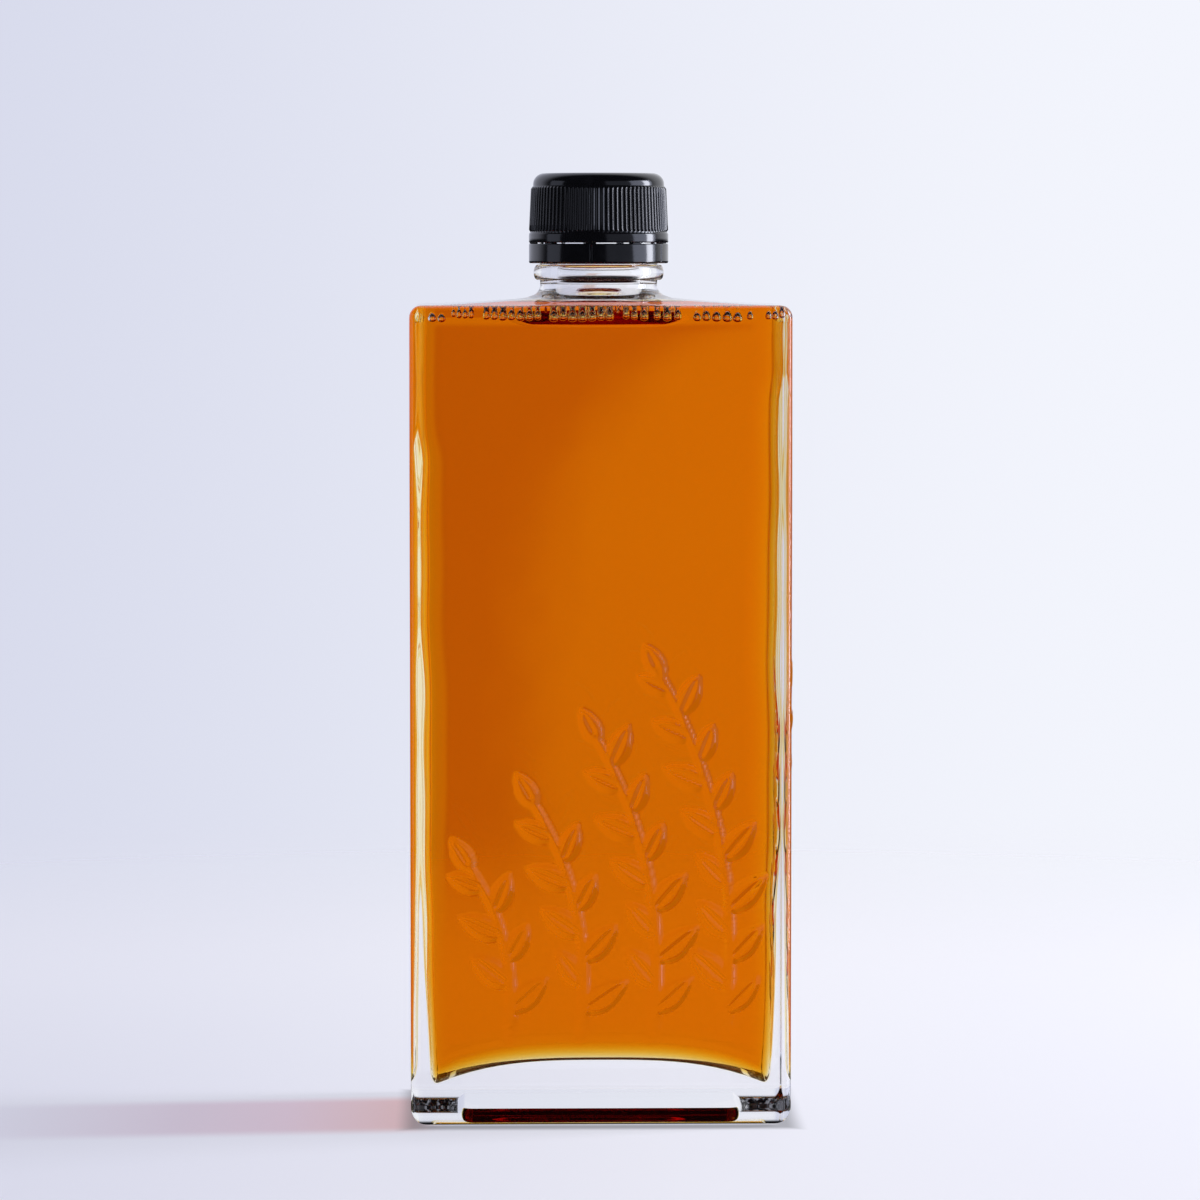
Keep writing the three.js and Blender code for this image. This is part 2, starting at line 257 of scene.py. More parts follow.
class Nodes:
    """A node tree that is built node by node."""

    def __init__(self, tree):
        self.tree = tree
        tree.nodes.clear()

    def node(self, kind, settings=None, sockets=None, output=0):
        """A node of a kind, with its settings, then its socket values or links. Returns one output."""
        made = self.tree.nodes.new(kind)
        for name, setting in (settings or {}).items():
            if name == "stops":
                set_stops(made.color_ramp, setting)
            else:
                setattr(made, name, setting)
        for name, source in (sockets or {}).items():
            plug(self.tree, source, made.inputs[name])
        return Value(self.tree, made.outputs[output])

    def noise(self, where, scale, detail=2.0, roughness=0.5):
        sockets = {"Vector": where, "Scale": scale, "Detail": detail, "Roughness": roughness}
        return self.node("ShaderNodeTexNoise", {}, sockets)

    def blend(self, factor, first, second):
        """A colour between two others."""
        settings = {"data_type": "RGBA"}
        made = self.node("ShaderNodeMix", settings)
        inputs = made.socket.node.inputs
        plug(self.tree, factor, inputs[0])
        plug(self.tree, first, inputs[6])
        plug(self.tree, second, inputs[7])
        return Value(self.tree, made.socket.node.outputs[2])

    def axis(self, where, name):
        """One coordinate of a place or a direction."""
        return self.node("ShaderNodeSeparateXYZ", {}, {0: where}, output=name)

    def ramp(self, source, low, high):
        """Smooth step of a value from 0 at low to 1 at high."""
        settings = {"interpolation_type": "SMOOTHSTEP"}
        sockets = {"Value": source, "From Min": low, "From Max": high}
        return self.node("ShaderNodeMapRange", settings, sockets)

    def times(self, first, second):
        """Two colours or vectors multiplied channel by channel."""
        return self.node("ShaderNodeVectorMath", {"operation": "MULTIPLY"}, {0: first, 1: second})

    def bump(self, height, strength, distance):
        sockets = {"Height": height, "Strength": strength, "Distance": distance}
        return self.node("ShaderNodeBump", {}, sockets)

    def finish(self, surface, volume=None):
        ends = {"Surface": surface}
        if volume is not None:
            ends["Volume"] = volume
        kind = "ShaderNodeOutputWorld" if self.is_world() else "ShaderNodeOutputMaterial"
        made = self.tree.nodes.new(kind)
        for name, source in ends.items():
            plug(self.tree, source, made.inputs[name])

    def is_world(self):
        return any(world.node_tree == self.tree for world in bpy.data.worlds)


def set_stops(ramp, stops):
    """Gives a colour ramp its stops, each a place and a colour."""
    while len(ramp.elements) < len(stops):
        ramp.elements.new(1.0)
    for element, (place, colour) in zip(ramp.elements, stops):
        element.position = place
        element.color = colour


def material(name):
    made = bpy.data.materials.new(name)
    made.use_nodes = True
    return made, Nodes(made.node_tree)


def linear(red, green, blue):
    """A colour given in 0 to 255 screen values, as the shaders take it."""
    channels = []
    for channel in (red, green, blue):
        share = channel / 255
        low = share / 12.92
        high = ((share + 0.055) / 1.055) ** 2.4
        channels.append(low if share <= 0.04045 else high)
    return (*channels, 1.0)


# Finishes

GLASS_IOR = 1.52
SYRUP_IOR = 1.465
SYRUP_TAKEN_PER_METRE = np.array((5.2, 40.0, 190.0))


def clear_sockets(ior):
    """Socket values of a clear finish that bends light."""
    return {"Base Color": (1.0, 1.0, 1.0, 1.0), "Roughness": 0.0, "IOR": ior, "Transmission Weight": 1.0}


def glass_finish(name, ior):
    """Clear moulded glass with faint ripples from the mould."""
    made, nodes = material(name)
    where = nodes.node("ShaderNodeTexCoord", output="Object")
    height = nodes.axis(where, "Z")
    ripple = nodes.noise(where, 55.0, 1.0) * (1 - nodes.ramp(height, 0.155, 0.172))
    sockets = clear_sockets(ior) | {"Normal": nodes.bump(ripple, 0.12, 0.0005)}
    nodes.finish(nodes.node("ShaderNodeBsdfPrincipled", {}, sockets))
    return made


def painted_shade_stipple_finish():
    """Painted shade on the stipple pads: opaque, rough and nearly black, with lighter grey streaks,
    standing in for the dark floor and faint glints seen through stippling from within the clear base.
    """
    made, nodes = material("stipple_pads_painted_shade")
    where = nodes.node("ShaderNodeTexCoord", output="Object")
    grain = nodes.ramp(nodes.noise(nodes.times(where, (1.0, 0.3, 1.0)), 900.0, 3.0), 0.5, 0.66)
    sockets = {
        "Base Color": nodes.blend(grain, (0.004, 0.004, 0.005, 1.0), (0.3, 0.31, 0.34, 1.0)),
        "Roughness": 0.35 + 0.2 * grain,
    }
    nodes.finish(nodes.node("ShaderNodeBsdfPrincipled", {}, sockets))
    return made


def syrup_finish():
    """Clear amber syrup: its colour comes from what each millimetre of it takes out of the light.

    The wetted glass and the free surface of the syrup turn the light, so this skin doesn't.
    """
    made, nodes = material("amber_syrup")
    surface = nodes.node("ShaderNodeBsdfPrincipled", {}, clear_sockets(1.0))
    density = float(SYRUP_TAKEN_PER_METRE.max()) * 1.02
    colour = (*(1 - SYRUP_TAKEN_PER_METRE / density), 1.0)
    volume = nodes.node("ShaderNodeVolumeAbsorption", {}, {"Color": colour, "Density": density})
    nodes.finish(surface, volume)
    return made


def bubble_finish():
    """Where the syrup meets air: its free surface seen from within it."""
    made, nodes = material("syrup_bubble_skin")
    nodes.finish(nodes.node("ShaderNodeBsdfPrincipled", {}, clear_sockets(SYRUP_IOR)))
    return made


def cap_finish():
    """Black moulded plastic: a fine satin grain, with faint rubbed patches."""
    made, nodes = material("black_cap_plastic")
    where = nodes.node("ShaderNodeTexCoord", output="Object")
    grain = nodes.noise(where, 2600.0, 2.0)
    rubbed = nodes.ramp(nodes.noise(where, 210.0, 3.0), 0.5, 0.75)
    sockets = {
        "Base Color": nodes.blend(rubbed, (0.0022, 0.0023, 0.0032, 1.0), (0.004, 0.0042, 0.0058, 1.0)),
        "Roughness": 0.11 + 0.05 * rubbed + 0.03 * grain,
        "IOR": 1.5,
        "Specular IOR Level": 0.75,
        "Normal": nodes.bump(grain, 0.012, 0.00005),
    }
    nodes.finish(nodes.node("ShaderNodeBsdfPrincipled", {}, sockets))
    return made


# Rings of points and the skins between them


class Lines:
    """Where the upright lines of points run round a rounded box.

    right, back, left and front are places along each flat side from -1 to 1, counter-clockwise.
    turn is the number of steps round each corner.
    """

    def __init__(self, right, back, left, front, turn):
        self.sides = [np.asarray(side, float) for side in (right, back, left, front)]
        self.turn = np.linspace(0, 1, turn + 1)
        places = []
        for number, side in enumerate(self.sides):
            places.append(2 * number + (side + 1) / 2)
            places.append(2 * number + 1 + self.turn)
        self.place = np.concatenate(places) / 8

    def normals(self):
        """Outward direction of every line, seen from above."""
        parts = []
        for number, side in enumerate(self.sides):
            start = number * math.pi / 2
            angle = start + self.turn * math.pi / 2
            parts.append(np.tile([math.cos(start), math.sin(start)], (len(side), 1)))
            parts.append(np.stack([np.cos(angle), np.sin(angle)], 1))
        return np.concatenate(parts)

    def box(self, half_width, half_depth, radius, height):
        """Ring of a rounded box, counter-clockwise from the front end of the right side."""
        across = half_width - radius
        along = half_depth - radius
        turn = self.turn * math.pi / 2
        bow = radius * np.cos(turn)
        rise = radius * np.sin(turn)
        right, back, left, front = self.sides
        flats = [
            (np.full(len(right), half_width), right * along),
            (-back * across, np.full(len(back), half_depth)),
            (np.full(len(left), -half_width), -left * along),
            (front * across, np.full(len(front), -half_depth)),
        ]
        corners = [
            (across + bow, along + rise),
            (-across - rise, along + bow),
            (-across - bow, -along - rise),
            (across + rise, -along - bow),
        ]
        parts = [part for pair in zip(flats, corners) for part in pair]
        x = np.concatenate([part[0] for part in parts])
        y = np.concatenate([part[1] for part in parts])
        z = height(x) if callable(height) else np.full(len(x), float(height))
        return np.stack([x, y, z], 1)

    def circle(self, radius, height):
        """Level circle whose points face those of the body's rounded box."""
        body = self.box(1.0, 1.0, 0.1, 0.0)
        angle = np.arctan2(body[:, 1], body[:, 0])
        return np.stack([radius * np.cos(angle), radius * np.sin(angle), np.full(len(angle), height)], 1)


def even(count):
    """Evenly spread places along a side, with one close to either end so that the flat stays flat."""
    inner = np.linspace(-1, 1, count + 2)[1:-1]
    return np.concatenate([[-0.985], inner, [0.985]])


class Skin:
    """One mesh in the making: rings of points and the faces between them."""

    def __init__(self):
        self.points = []
        self.faces = []
        self.finish = 0
        self.finishes = []
        self.size = 0

    def add(self, faces):
        """Adds faces in the skin's present finish."""
        self.faces.extend(faces)
        self.finishes.extend([self.finish] * len(faces))

    def ring(self, points):
        self.points.append(points)
        self.size += len(points)
        return np.arange(self.size - len(points), self.size)

    def band(self, low, high, kept=slice(None)):
        """Four-sided faces between two rings of equal length, or only those that are kept."""
        faces = np.stack([low, np.roll(low, -1), np.roll(high, -1), high], 1)
        self.add(faces[kept].tolist())

    def bands(self, rings):
        """Bands through a list of rings. Returns the first and the last ring's numbers."""
        numbers = [self.ring(points) for points in rings]
        for low, high in zip(numbers, numbers[1:]):
            self.band(low, high)
        return numbers[0], numbers[-1]

    def seam(self, low, high, low_place, high_place):
        """Triangles between two rings of unlike length, matched by their places on the way round."""
        lower = np.append(low_place, low_place[0] + 1)
        upper = np.append(high_place, high_place[0] + 1)
        i = 0
        j = 0
        while i < len(low) or j < len(high):
            here = low[i % len(low)]
            there = high[j % len(high)]
            if j == len(high) or (i < len(low) and lower[i + 1] <= upper[j + 1]):
                i += 1
                self.add([[here, low[i % len(low)], there]])
            else:
                j += 1
                self.add([[here, high[j % len(high)], there]])

    def start(self, ring, point):
        """Closes the first ring of a skin with a fan to a point."""
        centre = self.ring(np.array([point], float))[0]
        for here, there in zip(ring, np.roll(ring, -1)):
            self.add([[centre, there, here]])

    def end(self, ring, point):
        """Closes the last ring of a skin with a fan to a point."""
        centre = self.ring(np.array([point], float))[0]
        for here, there in zip(ring, np.roll(ring, -1)):
            self.add([[centre, here, there]])

    def repaint(self, finish, inside):
        """Gives another finish to the faces whose middles lie inside a region."""
        points = np.concatenate(self.points)
        middles = np.array([points[face].mean(0) for face in self.faces])
        for number in np.flatnonzero(inside(middles)):
            self.finishes[number] = finish

    def piece(self, name, slot, *finishes):
        """The skin as a smooth object that rides on the bottle."""
        mesh = bpy.data.meshes.new(name)
        points = np.concatenate(self.points) * MM
        mesh.from_pydata(points.tolist(), [], self.faces)
        mesh.shade_smooth()
        for finish in finishes:
            mesh.materials.append(finish)
        mesh.polygons.foreach_set("material_index", self.finishes)
        made = bpy.data.objects.new(name, mesh)
        bpy.context.collection.objects.link(made)
        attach(made, "root")
        return made


def arc(steps):
    """A quarter turn: how far back from the start and how far up it has gone, as pairs."""
    angles = np.linspace(0, math.pi / 2, steps + 1)
    return [(1 - math.cos(angle), math.sin(angle)) for angle in angles]


def smooth(share):
    """Smooth step from 0 to 1."""
    held = np.clip(share, 0, 1)
    return held * held * (3 - 2 * held)


def mix(low, high, share):
    return low + (high - low) * share


# Leafy sprays in relief


def stem_points(foot, height, lean):
    """Points along a stem that rises from its foot and leans over to the left at its tip."""
    share = np.linspace(0, 1, STEM_STEPS + 1)[:, None]
    low = np.array([foot, SPRAY_FOOT_HEIGHT])
    bend = np.array([foot + STEM_BEND_RIGHT * lean, SPRAY_FOOT_HEIGHT + STEM_BEND_UP * height])
    tip = np.array([foot - lean, SPRAY_FOOT_HEIGHT + height])
    return (1 - share) ** 2 * low + 2 * share * (1 - share) * bend + share**2 * tip


def leaf_half_width(share, length):
    """Half the width of a pointed leaf at a share of its length, broadest below the middle."""
    held = np.clip(share, 0, 1)
    return LEAF_SLIMNESS * length * (1 - (2 * held**0.8 - 1) ** 2)


def spray_leaves(stem, phase):
    """Leaves of one spray as (root, turn, length): alternate along the stem, and one at its tip."""
    steps = np.linalg.norm(np.diff(stem, axis=0), axis=1)
    run = np.concatenate([[0], np.cumsum(steps)])
    tangents = np.gradient(stem, axis=0)
    headings = np.arctan2(tangents[:, 1], tangents[:, 0])

    def leaf(along, side, turn, length):
        root = [np.interp(along, run, stem[:, axis]) for axis in (0, 1)]
        return root, np.interp(along, run, headings) - side * turn, LEAF_LENGTH * length

    leaves = []
    for number in range(int((run[-1] - LEAF_FIRST) // LEAF_SPACING)):
        along = LEAF_FIRST + number * LEAF_SPACING
        side = 1 if number % 2 == 0 else -1
        sway = math.sin(2.4 * number + 1.7 * phase)
        length = 1 - LEAF_TIP_SHRINK * along / run[-1] + LEAF_SWAY_SIZE * sway
        leaves.append(leaf(along, side, LEAF_TURN + LEAF_SWAY_TURN * sway, length))
    leaves.append(leaf(TIP_LEAF_ROOT * run[-1], 0, 0.0, 1 - LEAF_TIP_SHRINK))
    return leaves


def leaf_height(across, up, leaf):
    """Height of one leaf over the wall: a crowned plate with a sunk midrib."""
    root, turn, length = leaf
    x = across - root[0]
    z = up - root[1]
    along = x * math.cos(turn) + z * math.sin(turn)
    off = np.abs(x * math.sin(turn) - z * math.cos(turn))
    half = leaf_half_width(along / length, length)
    beyond = np.maximum(np.maximum(along - length, -along), 0)
    plate = smooth((half - off - beyond) / RELIEF_BEVEL + 0.5)
    crown = 1 - LEAF_CROWN * np.clip(off / np.maximum(half, 0.1), 0, 1) ** 2
    midrib = MIDRIB_DEPTH * np.exp(-((off / MIDRIB_WIDTH) ** 2))
    return plate * (LEAF_PROUD * crown - midrib)


def stem_height(across, up, points):
    """Height of a raised stem that tapers to its tip and rises softly out of the wall at its foot."""
    height = np.zeros_like(across)
    for number, (x, z) in enumerate(points):
        width = mix(STEM_FOOT_WIDTH, STEM_TIP_WIDTH, number / STEM_STEPS)
        inside = width / 2 + RELIEF_BEVEL / 2 - np.hypot(across - x, up - z)
        proud = STEM_PROUD * smooth(number / STEM_FADE)
        height = np.maximum(height, proud * smooth(inside / RELIEF_BEVEL))
    return height


def spray_height(across, up, spray, phase):
    """Height of a whole spray over the wall."""
    stem = stem_points(*spray)
    height = stem_height(across, up, stem)
    for leaf in spray_leaves(stem, phase):
        height = np.maximum(height, leaf_height(across, up, leaf))
    return height


def front_relief(x, z):
    """Height of the sprays on the front, each taller than the one to its left."""
    height = np.zeros_like(x)
    for number in range(SPRAY_COUNT):
        spray = (
            SPRAY_FIRST_X + number * SPRAY_PITCH,
            SPRAY_FIRST_HEIGHT + number * SPRAY_HEIGHT_STEP,
            SPRAY_FIRST_LEAN + number * SPRAY_LEAN_STEP,
        )
        height = np.maximum(height, spray_height(x, z, spray, number))
    return height


def side_relief(y, z):
    """Height of the taller spray on the right side, which shows from the front through the wall."""
    return SIDE_SPRAY_RISE * spray_height(y, z, SIDE_SPRAY, SPRAY_COUNT)


# Glass


def wall_lines():
    """Lines of the outer walls: close together where the front and the right side carry relief."""
    across = HALF_WIDTH - CORNER_RADIUS
    along = HALF_DEPTH - CORNER_RADIUS
    front = np.arange(*FRONT_RELIEF_SPAN, RELIEF_STEP) / across
    right = np.arange(*SIDE_RELIEF_SPAN, SIDE_RELIEF_STEP) / along
    front = np.concatenate([[-0.99], front, [0.99]])
    right = np.concatenate([[-0.985, -0.85], right, [0.75, 0.985]])
    return Lines(right, even(8), even(6), front, 5)


def wall_rings(lines):
    """Outer walls from the top of the heel to the start of the shoulder's edge, with their relief."""
    low = HEEL_RADIUS
    high = SHOULDER_EDGE_HEIGHT - SHOULDER_EDGE_RADIUS
    heights = np.concatenate([
        np.linspace(low + SEAM_CLEARANCE, RELIEF_LOW - 1, 6),
        np.arange(RELIEF_LOW, RELIEF_HIGH, RELIEF_STEP),
        np.linspace(RELIEF_HIGH + 2, high - SEAM_CLEARANCE, 9),
    ])
    rings = np.stack([lines.box(HALF_WIDTH, HALF_DEPTH, CORNER_RADIUS, z) for z in heights])
    x, y, z = rings[..., 0].copy(), rings[..., 1].copy(), rings[..., 2]
    on_front = y < -HALF_DEPTH + 0.001
    on_right = x > HALF_WIDTH - 0.001
    rings[..., 1][on_front] -= front_relief(x[on_front], z[on_front])
    rings[..., 0][on_right] += side_relief(y[on_right], z[on_right])
    return list(rings)


def soft_ramp(inset):
    """Straight ramp that starts softly at 0."""
    soft = (inset + RECESS_ROUNDING / 2) ** 2 / (2 * RECESS_ROUNDING)
    return np.where(inset > RECESS_ROUNDING / 2, inset, np.where(inset > -RECESS_ROUNDING / 2, soft, 0))


def recess_height(inset):
    """Height of the hollow under the base at a distance in from its edge."""
    slope = RECESS_HEIGHT / RECESS_SLOPE_RUN
    return slope * float(soft_ramp(inset) - soft_ramp(inset - RECESS_SLOPE_RUN))


def corner_radius(inset):
    """Radius of the body's upright corners at a distance in from its walls."""
    return max(CORNER_RADIUS - inset, LEAST_CORNER_RADIUS)


def stipple(ring):
    """Small dents over the left and right ends of the ring that the bottle stands on."""
    x, y = ring[:, 0], ring[:, 1]
    on_end = smooth((np.abs(x) - STIPPLE_START) / 0.6) * smooth((STIPPLE_END - np.abs(x)) / 0.8)
    on_end *= smooth((STIPPLE_HALF_LENGTH - np.abs(y)) / 1.0)
    wave = 2 * math.pi / STIPPLE_PITCH
    dents = np.sin(wave * (x + 0.35 * y)) * np.sin(wave * (0.8 * y - 0.3 * x) + 0.7 * np.sin(0.9 * y))
    return STIPPLE_DEPTH * on_end * (0.5 + 0.5 * dents)


def painted_shade_strokes(points):
    """True in the strokes over the stipple pads that take the finish of painted shade."""
    x, y, z = points.T
    inside = (np.abs(x) > STIPPLE_START) & (np.abs(x) < STIPPLE_END)
    inside &= (y > PAD_FRONT) & (y < PAD_BACK) & (z < PAD_TOP)
    along = np.abs(x) + 0.06 * y
    strokes = np.sin(3.1 * along + 1.3 * np.sin(0.9 * y)) + 0.7 * np.sin(7.3 * along - 1.1 * y + 1.0)
    strokes += 0.9 * np.sin(1.9 * y + 2.3 * np.sin(1.1 * x))
    return inside & (strokes > STROKE_THRESHOLD)


def recess_rings(lines):
    """Hollow under the base, from near its middle to past its rounded edge."""
    rings = []
    for share in (0.35, 0.7):
        width = share * (RECESS_HALF_WIDTH - RECESS_SLOPE_RUN)
        depth = share * (RECESS_HALF_DEPTH - RECESS_SLOPE_RUN)
        rings.append(lines.box(width, depth, share * 2, RECESS_HEIGHT))
    for inset in np.linspace(RECESS_SLOPE_RUN + RECESS_MARGIN, -RECESS_MARGIN, 22):
        width = RECESS_HALF_WIDTH - inset
        depth = RECESS_HALF_DEPTH - inset
        radius = max(RECESS_CORNER - inset, 0.4)
        rings.append(lines.box(width, depth, radius, recess_height(inset)))
    return rings


def stand_rings(lines):
    """Flat ring that the bottle stands on."""
    stand_width = HALF_WIDTH - HEEL_RADIUS
    stand_depth = HALF_DEPTH - HEEL_RADIUS
    rings = []
    for share in np.linspace(0, 1, 16)[1:-1]:
        width = mix(RECESS_HALF_WIDTH + RECESS_MARGIN, stand_width, share)
        depth = mix(RECESS_HALF_DEPTH + RECESS_MARGIN, stand_depth, share)
        radius = mix(RECESS_CORNER + RECESS_MARGIN, LEAST_CORNER_RADIUS, share)
        rings.append(lines.box(width, depth, radius, 0.0))
    return rings


def heel_rings(lines):
    """Rounded heel and the start of the upright wall."""
    rings = []
    for back, rise in reversed(arc(9)):
        inset = HEEL_RADIUS * back
        width = HALF_WIDTH - inset
        depth = HALF_DEPTH - inset
        rings.append(lines.box(width, depth, corner_radius(inset), HEEL_RADIUS * (1 - rise)))
    rings.append(lines.box(HALF_WIDTH, HALF_DEPTH, CORNER_RADIUS, HEEL_RADIUS + SEAM_CLEARANCE / 2))
    return rings


def base_rings(lines):
    """Underside from the middle of its hollow over the standing ring and round the heel."""
    rings = recess_rings(lines) + stand_rings(lines) + heel_rings(lines)
    for ring in rings:
        ring[:, 2] += stipple(ring)
    return rings


def shoulder_rings(lines):
    """Shoulder's rounded edge, its gentle slope and the fillet at the root of the neck."""
    start = SHOULDER_EDGE_HEIGHT - SHOULDER_EDGE_RADIUS - SEAM_CLEARANCE / 2
    rings = [lines.box(HALF_WIDTH, HALF_DEPTH, CORNER_RADIUS, start)]
    for back, rise in arc(8):
        inset = SHOULDER_EDGE_RADIUS * back
        z = SHOULDER_EDGE_HEIGHT - SHOULDER_EDGE_RADIUS * (1 - rise)
        rings.append(lines.box(HALF_WIDTH - inset, HALF_DEPTH - inset, corner_radius(inset), z))
    edge = rings[-1]
    root = lines.circle(NECK_RADIUS + NECK_FILLET, NECK_ROOT_HEIGHT - 0.3)
    for share in (0.03, 0.15, 0.3, 0.45, 0.6, 0.75, 0.88, 0.97):
        ring = mix(edge, root, share)
        ring[:, 2] = mix(edge[:, 2], root[:, 2], share**SHOULDER_SAG)
        rings.append(ring)
    for back, rise in arc(8)[1:]:
        radius = NECK_RADIUS + NECK_FILLET * (1 - rise)
        rings.append(lines.circle(radius, NECK_ROOT_HEIGHT + NECK_FILLET * back))
    return rings


def neck_rings(lines):
    """Neck's bead, the plain finish under the cap, the mouth and the bore down to its flare."""
    rings = []
    middle = (BEAD_TOP + BEAD_BOTTOM) / 2
    half = (BEAD_TOP - BEAD_BOTTOM) / 2
    for angle in np.radians(np.linspace(-90, 90, 17)):
        bulge = math.sqrt(max(math.cos(angle), 0))
        rings.append(lines.circle(mix(NECK_RADIUS, BEAD_RADIUS, bulge), middle + half * math.sin(angle)))
    for above in (0.3, 0.6, 1.0, 12.0, 15.0):
        rings.append(lines.circle(FINISH_RADIUS, BEAD_TOP + above))
    for back, rise in arc(5):
        z = MOUTH_HEIGHT - MOUTH_EDGE * (1 - rise)
        rings.append(lines.circle(FINISH_RADIUS - MOUTH_EDGE * back, z))
    for back, rise in reversed(arc(5)):
        z = MOUTH_HEIGHT - MOUTH_EDGE * (1 - rise)
        rings.append(lines.circle(BORE_RADIUS + MOUTH_EDGE * back, z))
    flare_top = CEILING_BORE_HEIGHT + BORE_FLARE
    for z in (MOUTH_HEIGHT - MOUTH_EDGE - 0.5, flare_top + 0.8, flare_top + 0.3):
        rings.append(lines.circle(BORE_RADIUS, z))
    for back, rise in arc(8):
        rings.append(lines.circle(BORE_RADIUS + BORE_FLARE * back, flare_top - BORE_FLARE * rise))
    return rings


def floor_height(x):
    """Arched floor of the cavity."""
    return FLOOR_CENTRE_HEIGHT - FLOOR_END_DROP * (np.abs(x) / CAVITY_HALF_WIDTH_BOTTOM) ** 3


def wall_drift(place, share):
    """How far the blown inner wall wanders outwards, by place round the bottle and share of height."""
    turn = 2 * math.pi * place
    broad = 0.16 * np.sin(turn + 5.0 * share) + 0.12 * np.sin(3 * turn - 9.0 * share + 1.0)
    fine = 0.07 * np.sin(5 * turn + 21.0 * share) + 0.05 * np.sin(2 * turn - 34.0 * share)
    return (broad + fine) * math.sin(math.pi * share) ** 0.7


def side_swell(ring, share):
    """How far the left and right inner walls stand out: fuller half-way back, and wavy with height."""
    side = np.sign(ring[:, 0])
    wave = np.sin(15.0 * share + 2.2 * side) + 0.6 * np.sin(39.0 * share + 9.0 * side)
    left = LEFT_HOLLOW * smooth((LEFT_HOLLOW_TOP - share) / 0.05)
    right = RIGHT_HOLLOW * smooth((RIGHT_HOLLOW_TOP - share) / 0.05)
    hollow = np.where(side < 0, left, right) * smooth(share / 0.25)
    out = SIDE_BULGE + SIDE_WAVE * wave - hollow * (ring[:, 1] / CAVITY_HALF_DEPTH) ** 2
    at_sides = smooth((np.abs(ring[:, 0]) - 30.0) / 6.0)
    return side * at_sides * out * math.sin(math.pi * share) ** 0.5


def cavity_rings(lines, reach):
    """Cavity from the edge of its ceiling down the walls and over the floor, let out by reach."""
    top_width = CAVITY_HALF_WIDTH_TOP + reach
    bottom_width = CAVITY_HALF_WIDTH_BOTTOM + reach
    depth = CAVITY_HALF_DEPTH + reach
    rings = []
    for back, rise in reversed(arc(8)):
        inset = CEILING_EDGE_RADIUS * back
        z = CEILING_EDGE_HEIGHT + reach - CEILING_EDGE_RADIUS * (1 - rise)
        rings.append(lines.box(top_width - inset, depth - inset, CAVITY_CORNER - inset, z))
    top = rings[-1]
    lift = FLOOR_FILLET - reach
    bottom = lines.box(bottom_width, depth, CAVITY_CORNER, lambda x: floor_height(x) + lift)
    normals = lines.normals()
    for share in np.linspace(1, 0, 60)[1:-1]:
        ring = mix(bottom, top, 1 - (1 - share) ** CAVITY_FLARE)
        ring[:, 2] = mix(bottom[:, 2], top[:, 2], share)
        ring[:, :2] += normals * wall_drift(lines.place, share)[:, None]
        ring[:, 0] += side_swell(ring, share)
        rings.append(ring)
    for back, rise in arc(8):
        inset = FLOOR_FILLET * back
        width = bottom_width - FLOOR_SIDE_FILLET * back
        lift = FLOOR_FILLET * (1 - rise) - reach
        radius = CAVITY_CORNER - inset
        rings.append(lines.box(width, depth - inset, radius, lambda x: floor_height(x) + lift))
    for share in np.linspace(1, 0, 9)[1:-1]:
        width = share * (bottom_width - FLOOR_SIDE_FILLET)
        deep = share * (depth - FLOOR_FILLET)
        radius = share * (CAVITY_CORNER - FLOOR_FILLET)
        rings.append(lines.box(width, deep, radius, lambda x: floor_height(x) - reach))
    return rings


def ceiling_rings(lines, reach, shares):
    """Rings between the bore's flare, at share 1, and the edge of the ceiling, at share 0."""
    edge = cavity_rings(lines, reach)[0]
    flare = lines.circle(BORE_RADIUS + BORE_FLARE, CEILING_BORE_HEIGHT + reach)
    return [mix(edge, flare, share) for share in shares]


def plain_lines():
    """Lines of the surfaces without relief."""
    return Lines(even(14), even(22), even(14), even(22), 7)


def make_glass(finish, wet_finish, stippled):
    """The bottle as one closed skin, from under its base over the outside and mouth to its inner floor."""
    plain = plain_lines()
    fine_ends = np.linspace(-0.99, 0.99, 90)
    base = Lines(fine_ends, even(22), fine_ends, even(22), 7)
    wall = wall_lines()
    skin = Skin()
    base_start, base_end = skin.bands(base_rings(base))
    skin.start(base_start, (0, 0, RECESS_HEIGHT))
    # Strokes over the stipple pads take the finish of painted shade
    skin.repaint(2, painted_shade_strokes)
    wall_start, wall_end = skin.bands(wall_rings(wall))
    skin.seam(base_end, wall_start, base.place, wall.place)
    upper = shoulder_rings(plain) + neck_rings(plain)
    upper += ceiling_rings(plain, 0.0, (0.97, 0.9, 0.8, POCKET_REACH))
    upper_start, upper_end = skin.bands(upper)
    skin.seam(wall_end, upper_start, wall.place, plain.place)
    skin.finish = 1
    inside = ceiling_rings(plain, 0.0, (0.5, 0.25, 0.03)) + cavity_rings(plain, 0.0)
    inside_start, inside_end = skin.bands(inside)
    skin.band(upper_end, inside_start)
    skin.end(inside_end, (0, 0, FLOOR_CENTRE_HEIGHT))
    glass = skin.piece("bottle_glass", "glass", finish, wet_finish, stippled)
    glass.visible_diffuse = False
    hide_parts("glass")


# Syrup and its bubbles


def pocket_rings(rim, depth):
    """Bowl of the air pocket inside its rim, set lower by depth."""
    rings = []
    for share in 1 - np.linspace(0, 1, 22)[1:-1] ** 1.5:
        ring = rim * (share, share, 1)
        ring[:, 0] += POCKET_CENTRE_X * (1 - share)
        ring[:, 2] = mix(POCKET_BOTTOM, rim[:, 2], share**POCKET_STEEPNESS) - depth
        rings.append(ring)
    return rings


